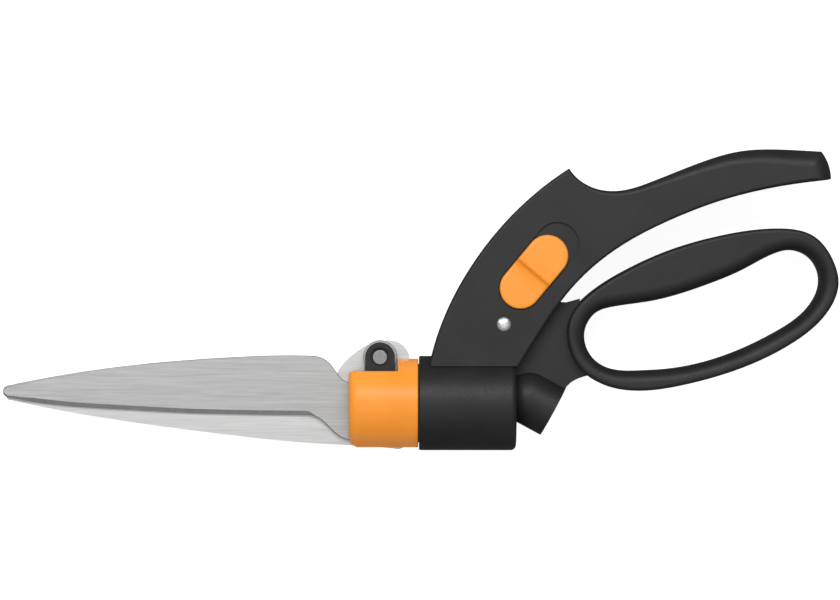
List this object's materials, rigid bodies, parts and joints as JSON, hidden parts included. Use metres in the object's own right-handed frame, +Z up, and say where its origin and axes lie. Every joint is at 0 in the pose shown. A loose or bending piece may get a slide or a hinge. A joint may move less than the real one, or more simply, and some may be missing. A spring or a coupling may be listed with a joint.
{
  "type": "grass shears",
  "caption": "One-handed grass shears with a swivelling blade head, a fixed and a moving blade, a loop handle and a thumb lock.",
  "frame": {"origin": "bottom centre of the bounding box, with the shears lying flat on one side", "axes": "+X from the blade tips to the handles, along the blade head's swivel axis; +Y from the blades to the top of the upper handle; +Z up, through the thickness"},
  "size_m": [0.35, 0.1262, 0.0396],
  "materials": {
    "black_plastic": "fine matte texture, glass-filled nylon",
    "orange_plastic": "smooth satin moulding",
    "blade_steel": "brushed along the blade",
    "bright_steel": "bright, turned",
    "pin_steel": "plain grey",
    "zinc_steel": "zinc plated"
  },
  "bodies": {
    "handle": {"upper_handle": "black_plastic", "handle_rivet": "bright_steel", "rivet_washer": "bright_steel", "lock_spring": "zinc_steel"},
    "lever": {"lower_handle": "black_plastic", "lever_bush": "zinc_steel"},
    "lock": {"lock_slide": "orange_plastic", "lock_bolt": "zinc_steel"},
    "blade_head": {"head_core": "black_plastic", "head_collar": "orange_plastic", "fixed_blade": "blade_steel", "fixed_blade_pins": "pin_steel", "pivot_barrel": "pin_steel", "pivot_screw": "pin_steel", "blade_washer": "pin_steel", "retaining_clip": "zinc_steel", "wave_washer": "zinc_steel"},
    "rod": {"pull_rod": "zinc_steel", "rod_clevis": "zinc_steel", "spring_flange": "zinc_steel", "swivel_ball": "zinc_steel", "rod_nut": "zinc_steel", "return_spring": "zinc_steel"},
    "moving_blade": {"moving_blade": "blade_steel", "drive_pin": "pin_steel"}
  },
  "joints": [
    {"name": "handle_squeeze", "type": "hinge", "parent": "handle", "child": "lever", "pos_m": [0.03505, -0.01006, 0.0198], "axis": [0, 0, -1], "range_deg": [0, 12]},
    {"name": "lock_slide", "type": "slide", "parent": "handle", "child": "lock", "axis": [0.6414, 0.7672, 0], "range_m": [0, 0.0063]},
    {"name": "head_turn", "type": "hinge", "parent": "handle", "child": "blade_head", "pos_m": [0.00755, -0.04326, 0.0198], "axis": [1, 0, 0], "continuous": true},
    {"name": "rod_pull", "type": "slide", "parent": "blade_head", "child": "rod", "axis": [-1, 0, 0], "range_m": [0, 0.0073], "deforming": ["return_spring"]},
    {"name": "blade_swing", "type": "hinge", "parent": "blade_head", "child": "moving_blade", "pos_m": [-0.01675, -0.02396, 0.0198], "axis": [0, 0, -1], "range_deg": [0, 22.01]}
  ],
  "couplings": [
    {"joint": "rod_pull", "follows": "handle_squeeze", "m_per_rad": 0.034809},
    {"joint": "blade_swing", "follows": "handle_squeeze", "ratio": 1.8333}
  ]
}
